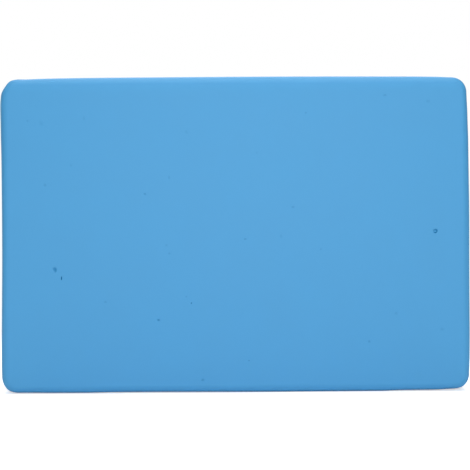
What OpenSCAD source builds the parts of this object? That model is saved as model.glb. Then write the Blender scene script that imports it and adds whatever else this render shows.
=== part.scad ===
// Foam block: one moulded slab of closed-cell foam, standing on a long narrow side.
// Millimetres. +X runs along the length, +Y from the front face to the back face, +Z up.
// The origin is the middle of the footprint, on the surface that the block stands on.

/* [Block] */
// Length of the block, from one end to the other
block_length = 228.5; // [160:0.5:320]
// Height of the block as it stands
block_height = 154; // [120:0.5:230]
// Depth of the block, from the front face to the back face
block_depth = 76; // [40:1:120]

/* [Rounding] */
// Radius of the edges round the front and back faces
edge_radius = 4; // [1:0.5:7.5]
// Radius of three of the corners of the outline
corner_radius = 8; // [7.5:0.5:20]
// Radius of the rounder corner of the outline, at the top left
rounder_corner_radius = 9.5; // [7.5:0.5:20]

/* [Burst blister] */
// Diameter of the blister's groove, along the middle of the groove
blister_diameter = 1.8; // [1:0.1:6]
// Width of the groove's mouth, and twice its depth
blister_groove_width = 0.7; // [0.3:0.1:0.9]
// Middle of the blister to the right-hand end
blister_from_right = 17.5; // [12:0.5:40]
// Middle of the blister above the base
blister_height = 78; // [20:1:100]

/* [Dent] */
// Width of the dent's mouth
dent_width = 2.4; // [1:0.1:6]
// Depth of the dent
dent_depth = 0.6; // [0.2:0.1:1]
// Middle of the dent to the left-hand end
dent_from_left = 27; // [14:0.5:60]
// Middle of the dent above the base
dent_height = 60.5; // [20:0.5:100]

/* [Slit] */
// Width of the slit beside the dent
slit_width = 0.5; // [0.3:0.1:1]
// Length of the slit, up and down
slit_length = 2.1; // [1.2:0.1:5]
// Depth of the slit
slit_depth = 0.9; // [0.3:0.1:2]
// Middle of the slit to the right of the dent's middle
slit_from_dent = 3; // [2.2:0.1:8]
// Middle of the slit below the dent's middle
slit_below_dent = 4.3; // [0:0.1:10]

/* [Pinholes] */
// Mouth of a large pinhole
large_pinhole = 1.1; // [0.6:0.1:2]
// Mouth of a small pinhole
small_pinhole = 0.7; // [0.4:0.1:1.5]
// Depth of every pinhole
pinhole_depth = 0.35; // [0.1:0.05:1]
// Large pinhole A, low on the left, to the left-hand end
pinhole_a_from_left = 76.5; // [14:0.5:145]
// Large pinhole A above the base
pinhole_a_height = 36; // [12:0.5:105]
// Large pinhole B, up and to the right of A, to the left-hand end
pinhole_b_from_left = 92.5; // [14:0.5:145]
// Large pinhole B above the base
pinhole_b_height = 44; // [12:0.5:105]
// Small pinhole C, above the two large ones, to the left-hand end
pinhole_c_from_left = 70; // [14:0.5:145]
// Small pinhole C above the base
pinhole_c_height = 96.5; // [12:0.5:105]
// Small pinhole D, near the middle of the face, to the left-hand end
pinhole_d_from_left = 118.5; // [14:0.5:145]
// Small pinhole D above the base
pinhole_d_height = 74.5; // [12:0.5:105]
// Small pinhole E, near the base, to the left-hand end
pinhole_e_from_left = 119.5; // [14:0.5:145]
// Small pinhole E above the base
pinhole_e_height = 16; // [12:0.5:105]

/* [Hidden] */

foam_blue = [0.36, 0.66, 0.86];

// Edges no rounder than the corners that they run round
edge = min(edge_radius, corner_radius, rounder_corner_radius);
right = block_length / 2;
top = block_height / 2;
front = -block_depth / 2;
flat_half_depth = block_depth / 2 - edge;

// Corners of the outline: which way along X, which way along Z, radius
corners = [
    [1, 1, corner_radius],
    [-1, 1, rounder_corner_radius],
    [-1, -1, corner_radius],
    [1, -1, corner_radius]
];

// Pinholes of the front face: from the left-hand end, above the base, mouth
pinholes = [
    [pinhole_a_from_left, pinhole_a_height, large_pinhole],
    [pinhole_b_from_left, pinhole_b_height, large_pinhole],
    [pinhole_c_from_left, pinhole_c_height, small_pinhole],
    [pinhole_d_from_left, pinhole_d_height, small_pinhole],
    [pinhole_e_from_left, pinhole_e_height, small_pinhole]
];

$fn = 96;

// Section through the rim: X outwards from 0 to the edge's radius, Y across the depth,
// with the two outer corners rounded
module rim_section() {
    translate([0, -flat_half_depth])
        square([edge, 2 * flat_half_depth]);
    for (side = [-1, 1])
        intersection() {
            translate([0, side * flat_half_depth])
                circle(r = edge);
            translate([0, side < 0 ? -flat_half_depth - edge : flat_half_depth])
                square(edge);
        }
}

// Quarter turn of the outline, in the quadrant of +X and +Z, about its own axis
module corner(radius) {
    rotate([90, 0, 0])
        rotate_extrude(angle = 90) {
            translate([radius - edge, 0])
                rim_section();
            if (radius > edge)
                translate([0, -block_depth / 2])
                    square([radius - edge, block_depth]);
        }
}

// Straight stretch of the rim along +X from X = 0, with its outside facing +Z at Z = 0
module straight_rim(length) {
    translate([0, 0, -edge])
        rotate([0, 90, 0])
            mirror([1, 0, 0])
                linear_extrude(height = length)
                    rim_section();
}

// Full-depth middle of the block, inside the rim and clear of the four corners
module middle() {
    rotate([90, 0, 0])
        linear_extrude(height = block_depth, center = true)
            difference() {
                square([block_length - 2 * edge, block_height - 2 * edge], center = true);
                for (c = corners)
                    if (c[2] > edge)
                        translate([c[0] * (right - (c[2] + edge) / 2), c[1] * (top - (c[2] + edge) / 2)])
                            square(c[2] - edge, center = true);
            }
}

// The whole slab about its own middle
module slab() {
    middle();
    for (c = corners)
        translate([c[0] * (right - c[2]), 0, c[1] * (top - c[2])])
            mirror([c[0] < 0 ? 1 : 0, 0, 0])
                mirror([0, 0, c[1] < 0 ? 1 : 0])
                    corner(c[2]);
    // Top, right-hand end, base and left-hand end
    translate([rounder_corner_radius - right, 0, top])
        straight_rim(block_length - rounder_corner_radius - corner_radius);
    translate([right, 0, top - corner_radius])
        rotate([0, 90, 0])
            straight_rim(block_height - 2 * corner_radius);
    translate([right - corner_radius, 0, -top])
        rotate([0, 180, 0])
            straight_rim(block_length - 2 * corner_radius);
    translate([-right, 0, corner_radius - top])
        rotate([0, -90, 0])
            straight_rim(block_height - corner_radius - rounder_corner_radius);
}

// Round-bottomed pit in the front face, with its mouth centred on Z = 0
module pit(mouth, depth) {
    radius = (mouth * mouth / 4 + depth * depth) / (2 * depth);
    translate([0, front + depth - radius, 0])
        sphere(r = radius);
}

// Half-round groove of a burst blister round its own button of foam
module blister() {
    translate([0, front, 0])
        rotate([90, 0, 0])
            rotate_extrude()
                translate([blister_diameter / 2, 0])
                    circle(d = blister_groove_width);
}

// Upright slit with round ends
module slit() {
    straight = slit_length - slit_width;
    translate([0, front, 0])
        rotate([90, 0, 0])
            linear_extrude(height = 2 * slit_depth, center = true) {
                square([slit_width, straight], center = true);
                for (end = [-1, 1])
                    translate([0, end * straight / 2])
                        circle(d = slit_width);
            }
}

module foam_block() {
    color(foam_blue)
        translate([0, 0, top])
            difference() {
                slab();
                translate([right - blister_from_right, 0, blister_height - top])
                    blister();
                translate([dent_from_left - right, 0, dent_height - top]) {
                    pit(dent_width, dent_depth);
                    translate([slit_from_dent, 0, -slit_below_dent])
                        slit();
                }
                for (p = pinholes)
                    translate([p[0] - right, 0, p[1] - top])
                        pit(p[2], pinhole_depth);
            }
}

foam_block();
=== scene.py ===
"""Foam block: one moulded slab of blue closed-cell foam that stands on a long narrow side.

Metres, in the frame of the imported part: X along the length, Y from the front face to the
back face, Z up from the surface that the block stands on.
"""

import math
from collections import namedtuple

import bmesh
import bpy
import numpy as np
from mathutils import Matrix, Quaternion, Vector
from mathutils.geometry import delaunay_2d_cdt


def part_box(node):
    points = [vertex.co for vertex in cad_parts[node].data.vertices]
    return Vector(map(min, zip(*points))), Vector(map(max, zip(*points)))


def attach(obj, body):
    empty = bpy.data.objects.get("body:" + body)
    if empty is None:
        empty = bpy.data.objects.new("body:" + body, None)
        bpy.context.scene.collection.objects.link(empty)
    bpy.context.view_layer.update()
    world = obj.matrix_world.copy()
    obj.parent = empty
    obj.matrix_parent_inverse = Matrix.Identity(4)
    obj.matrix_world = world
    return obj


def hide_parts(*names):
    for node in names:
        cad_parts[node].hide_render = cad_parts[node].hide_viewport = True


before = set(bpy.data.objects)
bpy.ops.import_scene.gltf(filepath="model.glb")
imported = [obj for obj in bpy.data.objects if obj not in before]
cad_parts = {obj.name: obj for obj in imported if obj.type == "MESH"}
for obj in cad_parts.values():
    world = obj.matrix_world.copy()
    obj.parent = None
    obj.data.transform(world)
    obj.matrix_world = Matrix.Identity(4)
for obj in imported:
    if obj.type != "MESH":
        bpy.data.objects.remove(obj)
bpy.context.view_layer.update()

# ---------------------------------------------------------------- sizes

MM = 0.001
DEG = math.pi / 180
NODE = "foam_block"

low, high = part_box(NODE)
LENGTH, DEPTH, HEIGHT = high - low

EDGE_RADIUS = 4 * MM  # of the edges round the front and back faces
CORNER_RADIUS = 8 * MM  # of three corners of the outline
ROUNDER_CORNER_RADIUS = 9.5 * MM  # of the outline's top left corner

MESH_STEP = 2 * MM  # between the points of a flat or straight stretch
ARC_STEPS = 18  # of a quarter turn
WELD = 0.001 * MM  # points nearer than this become one
RIM_MARGIN = 1.2 * MM  # between the rim line of a face and its inner points
INNER_CORNER = 2 * MM  # radius of the inner points' own four corners
INNER_SLACK = 0.2 * MM  # past that radius, within which a point still counts as inside

# How far the outline stands out of its true line, in mm, at places in mm along each side from
# its middle, anticlockwise as seen from the front: the sides are a little bowed, and the base
# rests only along a stretch to the right of its middle.
BOWS = {
    "base": [
        (-104, -0.38), (-88, -0.22), (-74, -0.16), (-58, -0.34), (-36, -0.30), (-20, -0.20), (15, 0.0),
        (70, 0.0), (80, -0.28), (97, -0.40), (104, -0.75), (108, -0.88), (111, -0.57), (117, -0.52),
    ],
    "right": [
        (-66, -0.34), (-60, -0.08), (-50, 0.0), (-24, -0.02), (12, 0.12), (30, 0.0),
        (46, -0.10), (53, -0.30), (60, -0.45), (66, -0.73), (71, -0.86), (76, -0.60),
    ],
    "top": [
        (-106, -0.52), (-96, -0.15), (-80, 0.0), (0, 0.26), (46, 0.12), (80, -0.15),
        (96, -0.46), (104, -0.74), (108, -0.50), (111, -0.18), (115, -0.56), (120, -0.12),
    ],
    "left": [
        (-64, 0.20), (-58, 0.14), (-50, 0.05), (-36, -0.20), (5, -0.38), (40, -0.10),
        (60, 0.10), (68, 0.0), (71, -0.15), (75, 0.0), (79, -0.36),
    ],
}

# Under its top edge, the front face leans back a little.
SHOULDER_DEPTH = 6.3 * MM  # down from the top
SHOULDER_SOFTNESS = 0.6 * MM  # of the bend where it begins
SHOULDER_LEAN = 12 * DEG
SHOULDER_REACH = 20 * MM  # back from the front face, over which the shift dies away
SHOULDER_STEP = 0.8 * MM  # between the rows of points on it

# Long shallow waves of the skin, which fade away towards the base.
WAVE_HEIGHT = 0.03 * MM  # of each of the three waves
WAVE_FADE = 0.3  # of the upward part of the outward way, from facing straight down

# Marks that moulding and use have left. Along and up are in mm: on a face from its middle
# and above the base, on the wall round the outline from the middle of the base and across
# the depth from the front. Width and height are the mouth's in mm, lean is in degrees,
# depth is in mm, and grime is how far the colour darkens, from 0 to 1: painted
# shade in the hollow, with some dirt.
Mark = namedtuple("Mark", "form along up width height lean depth grime")

FRONT_MARKS = [
    Mark("blister", 97.0, 78.0, 2.4, 2.3, 0, 0.35, 1.0),
    Mark("pit", -87.8, 60.3, 2.2, 3.1, 12, 0.40, 0.62),
    Mark("slit", -84.6, 56.1, 0.52, 2.0, 0, 0.45, 1.0),
    Mark("pit", -37.8, 35.6, 1.9, 1.3, -5, 0.25, 0.56),
    Mark("pit", -21.8, 43.7, 0.8, 1.0, 0, 0.25, 0.8),
    Mark("pit", -44.1, 96.7, 1.7, 1.4, 0, 0.15, 0.3),
    Mark("pit", 4.5, 74.6, 1.7, 1.1, 0, 0.15, 0.33),
    Mark("pit", 5.9, 15.6, 1.2, 0.9, 0, 0.15, 0.4),
    Mark("pit", 64.4, 24.5, 1.6, 1.6, 0, 0.10, 0.28),
    Mark("pit", 27.8, 90.0, 2.2, 1.3, 0, 0.10, 0.24),
    Mark("pit", 72.8, 144.1, 2.4, 1.4, 0, 0.10, 0.18),
    Mark("pit", -16.5, 6.4, 2.1, 1.6, 0, 0.10, 0.4),
    Mark("pit", -92.4, 101.3, 1.9, 1.7, 0, 0.10, 0.22),
    Mark("pit", -32.4, 104.6, 1.0, 2.2, 0, 0.10, 0.2),
    Mark("pit", -32.4, 67.8, 1.5, 1.3, 0, 0.10, 0.2),
    Mark("pit", -24.3, 46.8, 1.3, 1.0, 0, 0.10, 0.2),
    Mark("pit", -100.7, 132.4, 1.6, 1.4, 0, 0.08, 0.14),
    Mark("pit", 34.3, 135.8, 1.4, 1.1, 0, 0.08, 0.24),
    Mark("pit", 93.8, 141.1, 2.6, 2.0, 0, 0.08, 0.13),
    Mark("pit", -63.5, 44.5, 1.9, 1.4, 0, 0.08, 0.2),
    Mark("pit", -33.8, 71.8, 1.6, 1.6, 0, 0.08, 0.14),
    Mark("pit", 41.2, 69.5, 1.2, 1.6, 0, 0.08, 0.17),
    Mark("pit", -79.8, 110.7, 1.7, 1.5, 0, 0.06, 0.11),
    Mark("pit", 77.6, 38.1, 2.0, 2.0, 0, 0.06, 0.13),
    Mark("pit", -73.4, 133.6, 1.7, 2.8, 0, 0.06, 0.11),
    Mark("pit", -94.1, 131.1, 3.0, 3.2, 0, 0.06, 0.1),
    Mark("pit", -23.8, 126.7, 2.0, 2.4, 0, 0.06, 0.1),
    Mark("pit", 10.3, 116.3, 1.0, 1.5, 0, 0.06, 0.13),
    Mark("pit", 21.9, 75.9, 1.6, 2.5, 0, 0.06, 0.12),
    Mark("pit", 99.9, 30.2, 2.5, 2.0, 0, 0.06, 0.13),
]

# Pinholes strewn at random on the other sides: how many, and the seed of their places.
Strays = namedtuple("Strays", "count seed")
WALL_STRAYS = Strays(26, 11)
BACK_STRAYS = Strays(20, 5)
STRAY_MOUTH = (0.6, 1.1)  # mm
STRAY_DEPTH = (0.15, 0.35)  # mm
# Painted shade in the pinholes' hollows, with some dirt: how far their colour darkens.
STRAY_DIRT_AND_SHADE = (0.1, 0.3)
WALL_MARGIN = 3  # mm of the wall without them, at the base and at both rims
BACK_MARGIN = 10  # mm of the back face without them, at its base and top
BACK_REACH = 100  # mm to each side of the back face's middle

# ---------------------------------------------------------------- the outline and the rim

corner_radius = np.array([CORNER_RADIUS, CORNER_RADIUS, ROUNDER_CORNER_RADIUS, CORNER_RADIUS])
corner_x = np.array([1, 1, -1, -1]) * (LENGTH / 2 - corner_radius)
corner_z = np.where([0, 1, 1, 0], HEIGHT - corner_radius, corner_radius)


def twice(values, ends):
    """Each value two times, for a corner's start and finish, between the same two ends."""
    return np.concatenate([[ends], np.repeat(values, 2), [ends]])


# The outline runs anticlockwise, seen from the front, from the middle of the base. At each
# knot it has a centre of curvature, a radius and a way out, and between knots each of them
# changes evenly with the distance.
knot_x = twice(corner_x, 0)
knot_z = twice(corner_z, CORNER_RADIUS)
knot_radius = twice(corner_radius, CORNER_RADIUS)
knot_turn = np.array([-90, -90, 0, 0, 90, 90, 180, 180, 270, 270]) * DEG
straight = np.hypot(np.diff(knot_x + knot_radius * np.cos(knot_turn)),
                    np.diff(knot_z + knot_radius * np.sin(knot_turn)))
stretch = np.where(np.diff(knot_turn) > 0, knot_radius[1:] * np.diff(knot_turn), straight)
knot_along = np.concatenate([[0], np.cumsum(stretch)])

# Across the depth, the rim turns from facing the front to facing out to facing the back.
quarter = EDGE_RADIUS * 90 * DEG
flat_half_depth = DEPTH / 2 - EDGE_RADIUS
knot_across = np.cumsum([0, quarter, 2 * flat_half_depth, quarter])
knot_tilt = np.array([-90, 0, 0, 90]) * DEG
knot_depth = np.array([-1, -1, 1, 1]) * flat_half_depth


def smooth_curve(x, knots, heights):
    """The curve through some knots: a cubic between each two of them, whose slope at a knot is
    the harmonic mean of the slopes on its two sides, or level at a peak, so that it never
    overshoots."""
    rise = np.diff(heights) / np.diff(knots)
    before, after = rise[:-1], rise[1:]
    same_way = before * after > 0
    mean = 2 * before * after / np.where(same_way, before + after, 1)
    slopes = np.concatenate([[0], np.where(same_way, mean, 0), [0]])
    left = np.clip(np.searchsorted(knots, x) - 1, 0, len(knots) - 2)
    width = knots[left + 1] - knots[left]
    t = (x - knots[left]) / width
    ease = heights[left] + (heights[left + 1] - heights[left]) * t * t * (3 - 2 * t)
    return ease + width * t * (1 - t) * (slopes[left] * (1 - t) - slopes[left + 1] * t)


side_middles = [0, *(knot_along[2:8:2] + knot_along[3:9:2]) / 2]
bow_knots = np.array([
    (middle + at * MM, out * MM) for middle, side in zip(side_middles, BOWS.values()) for at, out in side
])
whole_turn = knot_along[-1]
bow_knots = np.concatenate([bow_knots + (turns * whole_turn, 0) for turns in (-1, 0, 1)])


def bow(along):
    """How far the outline stands out of its true line, from the distance round it."""
    return smooth_curve(along, *bow_knots.T)


def wall(along, across):
    """Places and outward normals of the wall, from the distance round the outline and the
    distance across the rim: a quarter round, a straight and a quarter round, carried round
    the outline on its own centres of curvature, with the outline's bow."""
    turn, tilt = np.interp(along, knot_along, knot_turn), np.interp(across, knot_across, knot_tilt)
    reach = np.interp(along, knot_along, knot_radius) - EDGE_RADIUS * (1 - np.cos(tilt))
    reach = reach + bow(along) * np.cos(tilt)
    place = np.stack([
        np.interp(along, knot_along, knot_x) + reach * np.cos(turn),
        np.interp(across, knot_across, knot_depth) + EDGE_RADIUS * np.sin(tilt),
        np.interp(along, knot_along, knot_z) + reach * np.sin(turn),
    ], -1)
    normal = np.stack([np.cos(tilt) * np.cos(turn), np.sin(tilt), np.cos(tilt) * np.sin(turn)], -1)
    return place, normal


def face(side):
    """The front face (side -1) or the back face (side 1): a plane over its X and Z."""
    def surface(x, z):
        place = np.stack([x, np.full_like(x, side * DEPTH / 2), z], -1)
        return place, np.broadcast_to([0.0, side, 0.0], place.shape)
    return surface


def evenly(start, end, step):
    """Numbers from start to end, no further apart than a step."""
    return np.linspace(start, end, math.ceil((end - start) / step) + 1)


def cuts(knots, steps):
    """Distances from the first knot to the last, each stretch cut into its number of steps."""
    pieces = [np.linspace(a, b, n, endpoint=False) for a, b, n in zip(knots, knots[1:], steps)]
    return np.concatenate(pieces + [knots[-1:]])


# ---------------------------------------------------------------- marks

# Sizes here are shares of half a mark's own mouth.
RINGS = np.append(np.arange(1, 10) * 0.12, [1.25, 1.6])  # of a mark's points
RING_POINTS = 24
CLEAR_OF_MARK = 1.9  # nearest point of the plain grid
OVAL, THREE_SIDED = 0.05, 0.04  # how far a mouth is out of round, in these two ways
LIP = 1.3  # the power that softens a pit's lip
STEEP = 8  # the power that steepens a slit's walls
BUTTON_MIDDLE = (-0.1, -0.15)  # to the right and up
BUTTON_REACH = (0.7, 0.3)
BUTTON_STEEP = 4
BLISTER_DEPTH, BLISTER_SLOPE = 0.78, 0.22  # of the whole depth: the mean, and how far it changes
BLISTER_DEEPEST = -55 * DEG  # the way there from the middle


def in_mark(mark, along, up):
    """Distance from the middle of a mark, as a share of half its mouth, and the way there: the
    places turned by its lean and divided by half its width and half its height."""
    a, u = along - mark.along * MM, up - mark.up * MM
    c, s = math.cos(mark.lean * DEG), math.sin(mark.lean * DEG)
    right, over = (a * c + u * s) / (mark.width * MM / 2), (u * c - a * s) / (mark.height * MM / 2)
    return np.hypot(right, over), np.arctan2(over, right)


def hollow(mark, along, up):
    """How far a mark goes into the foam, and how far its colour darkens: painted shade in the
    hollow, with some dirt. A pit is a bowl with a soft lip. A slit has steep walls and a flat
    bottom. A blister is like a slit, but deepest at its lower right, and with an oval button left
    standing in it. The mouths are a little out of round."""
    distance, way = in_mark(mark, along, up)
    oval, three_sided = OVAL * np.sin(2 * way + mark.along), THREE_SIDED * np.sin(3 * way + mark.up)
    distance = distance * (1 + oval + three_sided)
    if mark.form == "pit":
        sunk = np.clip(1 - distance**2, 0, None) ** LIP
    else:
        sunk = np.clip(1 - distance**STEEP, 0, None)
    if mark.form == "blister":
        right = (distance * np.cos(way) - BUTTON_MIDDLE[0]) / BUTTON_REACH[0]
        over = (distance * np.sin(way) - BUTTON_MIDDLE[1]) / BUTTON_REACH[1]
        button = np.exp(-(np.hypot(right, over) ** BUTTON_STEEP))
        sunk = sunk * (1 - button) * (BLISTER_DEPTH + BLISTER_SLOPE * np.cos(way - BLISTER_DEEPEST))
    # Painted shade in the hollow, with some dirt: the colour darkens as the mark deepens.
    return mark.depth * MM * sunk, mark.grime * sunk


def mark_points(mark):
    """Rings of points round the middle of a mark, squeezed to its width and height and turned
    by its lean, and the middle itself."""
    radius, way = np.meshgrid(RINGS, np.arange(RING_POINTS) * 360 * DEG / RING_POINTS, indexing="ij")
    right = np.append(radius * np.cos(way), 0) * mark.width * MM / 2
    over = np.append(radius * np.sin(way), 0) * mark.height * MM / 2
    c, s = math.cos(mark.lean * DEG), math.sin(mark.lean * DEG)
    return mark.along * MM + right * c - over * s, mark.up * MM + right * s + over * c


# ---------------------------------------------------------------- sheets of the skin

PLACE_DIGITS = 9  # of a metre, so that a straight edge is exactly straight
INSIDE_ONLY = 1  # Blender's number for triangles within the edge and none outside it


def skin_sheet(surface, grid, edge, marks, outward):
    """Places, painted shade with some dirt in the marks, and triangles of one sheet of the skin,
    over two flat parameters. Its points are a closed edge, a grid thinned out round each mark
    and each mark's rings."""
    along, up = grid
    for mark in marks:
        free = in_mark(mark, along, up)[0] > CLEAR_OF_MARK
        along, up = along[free], up[free]
    rings = [mark_points(mark) for mark in marks]
    along = np.concatenate([edge[0], along] + [r[0] for r in rings])
    up = np.concatenate([edge[1], up] + [r[1] for r in rings])
    count = len(edge[0])
    loop = [(i, (i + 1) % count) for i in range(count)]
    points = np.round(np.stack([along, up], -1), PLACE_DIGITS)
    made = delaunay_2d_cdt(points.tolist(), loop, [], INSIDE_ONLY, 10.0**-PLACE_DIGITS, False)
    along, up = np.array([tuple(p) for p in made[0]]).T
    triangles = np.array(made[2])
    place, normal = surface(along, up)
    sunk = [hollow(mark, along, up) for mark in marks]
    depth = sum((s[0] for s in sunk), np.zeros_like(along))
    # Painted shade in the marks' hollows, with some dirt.
    grime = sum((s[1] for s in sunk), np.zeros_like(along))
    place = place + normal * (unevenness(place, normal) - depth)[:, None]
    place[:, 1] += shoulder(place)
    return place, grime, triangles if outward else triangles[:, ::-1]


def shoulder(place):
    """How far the skin is shifted back under the top edge of the front face: a soft ramp that
    rises with the height above the shoulder's start, times a slow fade from front to back."""
    above = place[:, 2] - (HEIGHT - SHOULDER_DEPTH)
    ramp = (above + np.hypot(above, SHOULDER_SOFTNESS)) / 2
    fade = np.clip(1 - (place[:, 1] + DEPTH / 2 - EDGE_RADIUS) / SHOULDER_REACH, 0, 1)
    return math.tan(SHOULDER_LEAN) * ramp * fade


def unevenness(place, normal):
    """How far the skin stands proud of the true shape: the sum of three long shallow sine
    waves, whose lengths are in mm, and none on the base, which rests flat."""
    x, y, z = (place / MM).T
    waves = (np.sin(x / 23 + 0.7 * np.sin(z / 31)) + np.sin(z / 19 + x / 57 + 1.3)
             + np.sin(y / 15 + x / 41 + 2.1))
    free = np.clip((normal[:, 2] + 1) / WAVE_FADE, 0, 1)
    return WAVE_HEIGHT * waves * free * free * (3 - 2 * free)


def scattered(strays, along_range, up_range):
    """Pinholes strewn at random over a sheet that has no marks of its own."""
    random = np.random.default_rng(strays.seed)
    ranges = (along_range, up_range, STRAY_MOUTH, STRAY_MOUTH, (0, 90), STRAY_DEPTH, STRAY_DIRT_AND_SHADE)
    return [Mark("pit", *(random.uniform(*ends) for ends in ranges)) for _ in range(strays.count)]


def foam_skin():
    """Places, painted shade with some dirt in the marks, and triangles of the block's closed skin:
    the wall, and the front and back faces, which share its rim lines."""
    straights = np.ceil(stretch / MESH_STEP).astype(int)
    round_steps = np.where(np.diff(knot_turn) > 0, ARC_STEPS, straights)
    along = cuts(knot_along, round_steps)
    across = cuts(knot_across, [ARC_STEPS, math.ceil(2 * flat_half_depth / MESH_STEP), ARC_STEPS])
    inner = np.stack(np.meshgrid(along[1:-1], across[1:-1], indexing="ij"), -1).reshape(-1, 2).T
    ends = np.full_like(across, along[-1])
    wall_edge = (
        np.concatenate([along, ends[1:], along[-2::-1], 0 * ends[1:-1]]),
        np.concatenate([0 * along, across[1:], 0 * along[1:] + across[-1], across[-2:0:-1]]),
    )
    rim = wall(along[:-1], 0 * along[:-1])[0]
    rim_edge = (rim[:, 0], rim[:, 2])

    half = np.array([LENGTH, HEIGHT]) / 2 - EDGE_RADIUS - RIM_MARGIN
    bend = HEIGHT / 2 - SHOULDER_DEPTH - 2 * SHOULDER_SOFTNESS
    columns = evenly(-half[0], half[0], MESH_STEP)
    rows = np.append(evenly(-half[1], bend, MESH_STEP)[:-1], evenly(bend, half[1], SHOULDER_STEP))
    x, z = (g.ravel() for g in np.meshgrid(columns, rows, indexing="ij"))
    into_corner = np.maximum(np.abs([x, z]) - half[:, None] + INNER_CORNER, 0)
    inside = np.hypot(*into_corner) < INNER_CORNER + INNER_SLACK
    face_grid = (x[inside], z[inside] + HEIGHT / 2)

    wall_range = (knot_along[1] / MM + WALL_MARGIN, knot_along[-2] / MM - WALL_MARGIN)
    depth_range = (quarter / MM + WALL_MARGIN, (knot_across[-1] - quarter) / MM - WALL_MARGIN)
    height_range = (BACK_MARGIN, HEIGHT / MM - BACK_MARGIN)
    wall_marks = scattered(WALL_STRAYS, wall_range, depth_range)
    back_marks = scattered(BACK_STRAYS, (-BACK_REACH, BACK_REACH), height_range)
    sheets = [
        skin_sheet(wall, inner, wall_edge, wall_marks, False),
        skin_sheet(face(-1), face_grid, rim_edge, FRONT_MARKS, True),
        skin_sheet(face(1), face_grid, rim_edge, back_marks, False),
    ]
    starts = np.cumsum([0] + [len(s[0]) for s in sheets[:-1]])
    triangles = np.concatenate([s[2] + n for s, n in zip(sheets, starts)])
    return np.concatenate([s[0] for s in sheets]), np.concatenate([s[1] for s in sheets]), triangles


def mesh_piece(name, place, triangles, material, grime):
    """A smooth closed mesh object at the origin, with the painted shade and dirt of the marks as a
    number at each point. Points that two sheets share become one."""
    mesh = bpy.data.meshes.new(name)
    mesh.from_pydata(place.tolist(), [], triangles.tolist())
    # Painted shade in the marks' hollows, with some dirt, kept at each point.
    mesh.attributes.new("grime", "FLOAT", "POINT").data.foreach_set("value", grime.astype(np.float32))
    shape = bmesh.new()
    shape.from_mesh(mesh)
    bmesh.ops.remove_doubles(shape, verts=shape.verts, dist=WELD)
    shape.to_mesh(mesh)
    shape.free()
    mesh.shade_smooth()
    mesh.materials.append(material)
    piece = bpy.data.objects.new(name, mesh)
    bpy.context.scene.collection.objects.link(piece)
    return piece


# ---------------------------------------------------------------- materials

FOAM_LIGHTER = (0.065, 0.339, 0.654, 1)
FOAM_DARKER = (0.060, 0.325, 0.634, 1)
FOAM_DIRT_AND_SHADE = (0.001, 0.14, 0.34, 1)  # painted shade in the marks' hollows, with some dirt
FOAM_IOR = 1.5
FOAM_ROUGHNESS = 0.6
ROUGHNESS_CHANGE = 0.1  # from the darkest to the lightest of the mottle
MOTTLE_SCALE = 45  # features to the metre, as the next two
PEBBLE_SCALE = 900
CELL_SCALE = 1600
PEBBLE_SHARE, CELL_SHARE = 0.6, 0.4  # of the relief
RELIEF_HEIGHT = 0.02 * MM
RELIEF_STRENGTH = 0.5


class Value:
    """A socket that arithmetic can be done with: each operation adds a Math node."""

    def __init__(self, graph, socket):
        self.graph, self.socket = graph, socket

    def math(self, operation, *others):
        return self.graph.add("ShaderNodeMath", {"operation": operation}, [self, *others])

    def __add__(self, other):
        return self.math("ADD", other)

    def __sub__(self, other):
        return self.math("SUBTRACT", other)

    def __mul__(self, other):
        return self.math("MULTIPLY", other)

    def __rsub__(self, other):
        return self.graph.add("ShaderNodeMath", {"operation": "SUBTRACT"}, [other, self])

    __radd__, __rmul__ = __add__, __mul__


class Graph:
    """The nodes of a material or the world."""

    def __init__(self, tree):
        self.tree = tree
        tree.nodes.clear()

    def add(self, kind, settings=None, inputs=(), output=0):
        """Makes a node of a kind, with its settings first and then the values or links of its
        sockets, by number or by name, and returns one of its outputs."""
        node = self.tree.nodes.new(kind)
        for name, setting in (settings or {}).items():
            setattr(node, name, setting)
        pairs = inputs.items() if isinstance(inputs, dict) else enumerate(inputs)
        for name, value in pairs:
            if isinstance(value, Value):
                self.tree.links.new(value.socket, node.inputs[name])
            else:
                node.inputs[name].default_value = value
        return Value(self, node.outputs[output]) if node.outputs else None


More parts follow.
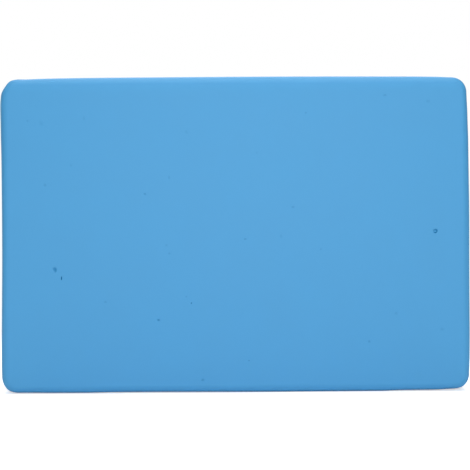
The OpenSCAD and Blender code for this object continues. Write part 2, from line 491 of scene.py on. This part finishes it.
def foam_material():
    """Closed-cell foam: an even blue with a faint mottle, a satin skin with a fine pebble, and in
    the marks a dark blue without a shine, which is painted shade in their hollows with some dirt."""
    material = bpy.data.materials.new("closed_cell_foam")
    material.use_nodes = True
    g = Graph(material.node_tree)
    place = g.add("ShaderNodeTexCoord", output="Object")
    mottle = g.add("ShaderNodeTexNoise", {},
                   {"Vector": place, "Scale": MOTTLE_SCALE, "Detail": 3, "Roughness": 0.5})
    pebble = g.add("ShaderNodeTexNoise", {},
                   {"Vector": place, "Scale": PEBBLE_SCALE, "Detail": 2, "Roughness": 0.5})
    cells = g.add("ShaderNodeTexVoronoi", {"feature": "SMOOTH_F1"},
                  {"Vector": place, "Scale": CELL_SCALE, "Smoothness": 0.4})
    # Painted shade in the marks' hollows, with some dirt, read from each point.
    grime = g.add("ShaderNodeAttribute", {"attribute_name": "grime"}, output="Fac")
    colour = g.add("ShaderNodeMix", {"data_type": "RGBA"},
                   {"Factor": mottle, "A": FOAM_DARKER, "B": FOAM_LIGHTER}, output=2)
    relief = PEBBLE_SHARE * pebble + CELL_SHARE * cells
    bump = g.add("ShaderNodeBump", {},
                 {"Strength": RELIEF_STRENGTH, "Distance": RELIEF_HEIGHT, "Height": relief})
    skin = g.add("ShaderNodeBsdfPrincipled", {}, {
        "Base Color": colour,
        "Roughness": FOAM_ROUGHNESS + ROUGHNESS_CHANGE * (mottle - 0.5),
        "IOR": FOAM_IOR,
        "Normal": bump,
    })
    # Painted shade in the marks' hollows, with some dirt: a dark blue with no shine, mixed in by how
    # deep the mark is.
    hollow_shade_and_dirt = g.add("ShaderNodeBsdfDiffuse", {}, {"Color": FOAM_DIRT_AND_SHADE})
    shown = g.add("ShaderNodeMixShader", {}, [grime, skin, hollow_shade_and_dirt])
    g.add("ShaderNodeOutputMaterial", {}, {"Surface": shown})
    return material


# ---------------------------------------------------------------- the block

place, grime, triangles = foam_skin()
block = mesh_piece("moulded_foam", place, triangles, foam_material(), grime)
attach(block, "root")
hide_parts(NODE)

# ---------------------------------------------------------------- floor, light and camera

WHITE = (1, 1, 1, 1)
FLOOR_SIZE = 4
FLOOR_GREY = (0.95, 0.95, 0.95, 1)  # as it lights the block
FLOOR_LIFT = 0.6  # added to what the camera sees near the block
FADE_START, FADE_END = 0.15, 0.4  # from the block's middle, where the floor turns plain white
FLOOR_DROP = 0.1 * MM  # under the base, so that the two planes never fight
WORLD_LEVEL = 0.25  # as it lights the block


def floor_material():
    """A pale matt floor. The camera sees it plain white, apart from the block's shadow."""
    material = bpy.data.materials.new("pale_floor")
    material.use_nodes = True
    g = Graph(material.node_tree)
    seen = g.add("ShaderNodeLightPath", output="Is Camera Ray")
    place = g.add("ShaderNodeTexCoord", output="Object")
    distance = g.add("ShaderNodeVectorMath", {"operation": "LENGTH"}, [place], output="Value")
    far = g.add("ShaderNodeMapRange", {"interpolation_type": "SMOOTHSTEP"},
                {"Value": distance, "From Min": FADE_START, "From Max": FADE_END})
    matt = g.add("ShaderNodeBsdfDiffuse", {}, {"Color": FLOOR_GREY})
    lift = g.add("ShaderNodeEmission", {}, {"Color": WHITE, "Strength": FLOOR_LIFT * seen})
    near = g.add("ShaderNodeAddShader", {}, [matt, lift])
    white = g.add("ShaderNodeEmission", {}, {"Color": WHITE, "Strength": 1})
    shown = g.add("ShaderNodeMixShader", {}, [far * seen, near, white])
    g.add("ShaderNodeOutputMaterial", {}, {"Surface": shown})
    return material


def plain_world():
    """Even light from all round. The camera sees it white."""
    world = bpy.data.worlds.new("studio")
    bpy.context.scene.world = world
    world.use_nodes = True
    g = Graph(world.node_tree)
    seen = g.add("ShaderNodeLightPath", output="Is Camera Ray")
    strength = WORLD_LEVEL + (1 - WORLD_LEVEL) * seen
    sky = g.add("ShaderNodeBackground", {}, {"Color": WHITE, "Strength": strength})
    g.add("ShaderNodeOutputWorld", {}, {"Surface": sky})


def softbox(name, middle, aim, size, watts):
    """A square soft light at a place, facing another."""
    data = bpy.data.lights.new(name, "AREA")
    data.shape, data.size, data.energy = "SQUARE", size, watts
    lamp = bpy.data.objects.new(name, data)
    lamp.location = middle
    lamp.rotation_mode = "QUATERNION"
    lamp.rotation_quaternion = (Vector(aim) - Vector(middle)).to_track_quat("-Z", "Y")
    bpy.context.scene.collection.objects.link(lamp)


floor_mesh = bpy.data.meshes.new("floor")
floor_corners = [
    (x * FLOOR_SIZE / 2, y * FLOOR_SIZE / 2, -FLOOR_DROP)
    for x, y in ((-1, -1), (1, -1), (1, 1), (-1, 1))
]
floor_mesh.from_pydata(floor_corners, [], [(0, 1, 2, 3)])
floor_mesh.materials.append(floor_material())
floor = bpy.data.objects.new("floor", floor_mesh)
bpy.context.scene.collection.objects.link(floor)

plain_world()
block_middle = Vector((0, 0, HEIGHT / 2))
softbox("overhead", (0, -0.15, 0.75), block_middle, 0.6, 3.4)
softbox("frontal", (0.03, -0.58, 0.22), block_middle, 0.3, 1.25)
softbox("top_back", (0, 0.6, 0.7), block_middle, 0.6, 4)

LENS, SENSOR = 85, 36  # mm
CLIP_START, CLIP_END = 0.01, 20
VIEW_DISTANCE = 576.5 * MM  # from the middle of the block
VIEW_TURN = -0.65 * DEG  # round the block, towards its left-hand end
VIEW_TILT = -0.3 * DEG  # above the level of the block's middle
VIEW_ROLL = 0.35 * DEG
VIEW_SHIFT = Vector((0, 0, -0.2)) * MM  # of the point that the camera aims at

camera_data = bpy.data.cameras.new("camera")
camera_data.lens, camera_data.sensor_width = LENS, SENSOR
camera_data.clip_start, camera_data.clip_end = CLIP_START, CLIP_END
camera = bpy.data.objects.new("camera", camera_data)
back = Vector((math.sin(VIEW_TURN) * math.cos(VIEW_TILT), -math.cos(VIEW_TURN) * math.cos(VIEW_TILT),
               math.sin(VIEW_TILT)))
camera.location = block_middle + VIEW_SHIFT + back * VIEW_DISTANCE
camera.rotation_mode = "QUATERNION"
camera.rotation_quaternion = (-back).to_track_quat("-Z", "Y") @ Quaternion((0, 0, 1), -VIEW_ROLL)
bpy.context.scene.collection.objects.link(camera)
bpy.context.scene.camera = camera
bpy.context.scene.view_settings.view_transform = "Standard"
